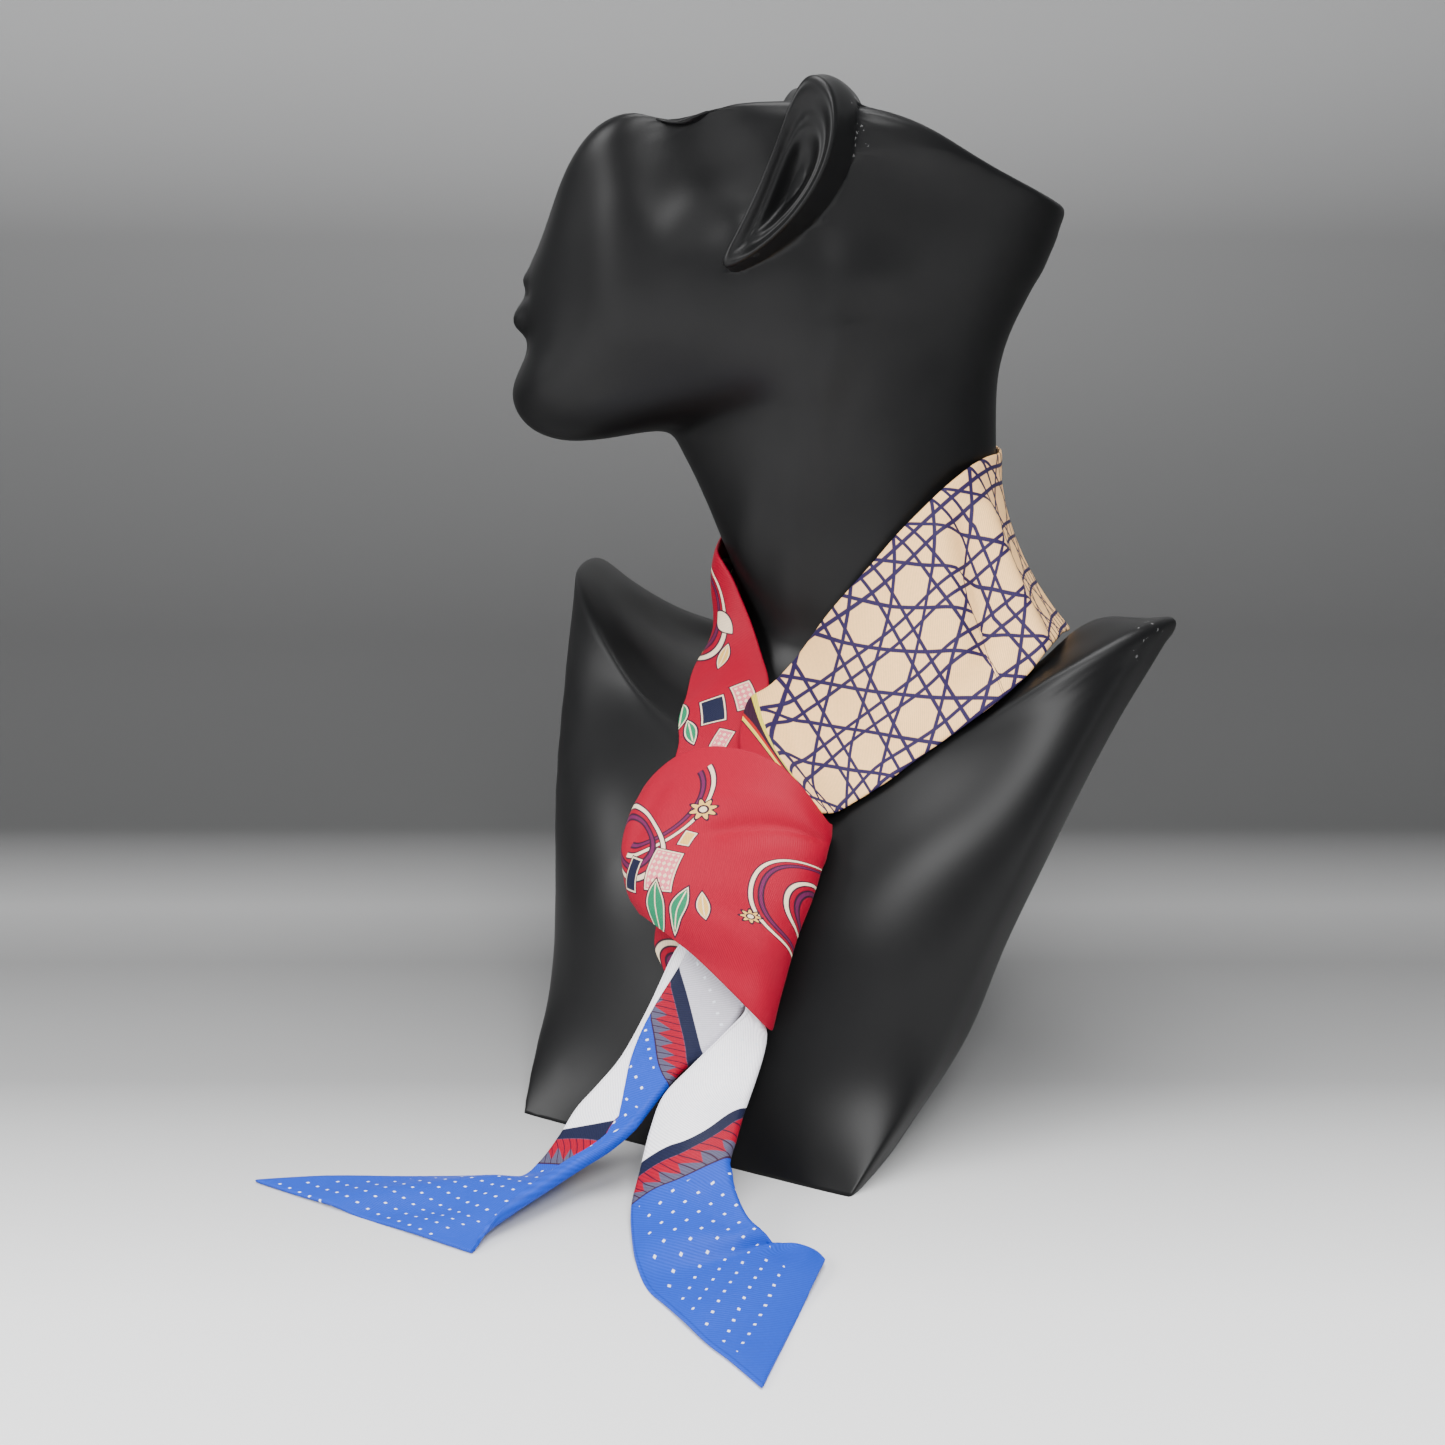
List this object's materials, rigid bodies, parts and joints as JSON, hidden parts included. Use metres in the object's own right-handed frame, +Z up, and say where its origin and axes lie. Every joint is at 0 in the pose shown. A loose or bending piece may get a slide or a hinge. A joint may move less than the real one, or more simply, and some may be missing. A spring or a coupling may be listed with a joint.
{
  "type": "skinny scarf on display bust",
  "caption": "Narrow printed silk scarf wound round the neck of a black limbless display bust and knotted in front, its slanted ends lying on the surface before the base.",
  "frame": {"origin": "on the bust's flat underside, under the notch between the collar bones, 71 mm behind the middle of the base's front edge", "axes": "+Z up, the bust's chest faces -Y, +X is the bust's own left"},
  "size_m": [0.2231, 0.2984, 0.3234],
  "materials": {
    "bust": "smooth matt black",
    "neck_loop": "silk twill with a soft sheen",
    "knot_wrap": "silk twill with a soft sheen",
    "knot_tuck": "silk twill with a soft sheen",
    "tail_left": "silk twill with a soft sheen",
    "tail_right": "silk twill with a soft sheen"
  },
  "bodies": {
    "root": {"bust": "bust", "neck_loop": "neck_loop", "knot_wrap": "knot_wrap", "knot_tuck": "knot_tuck", "tail_left": "tail_left", "tail_right": "tail_right"}
  },
  "joints": []
}
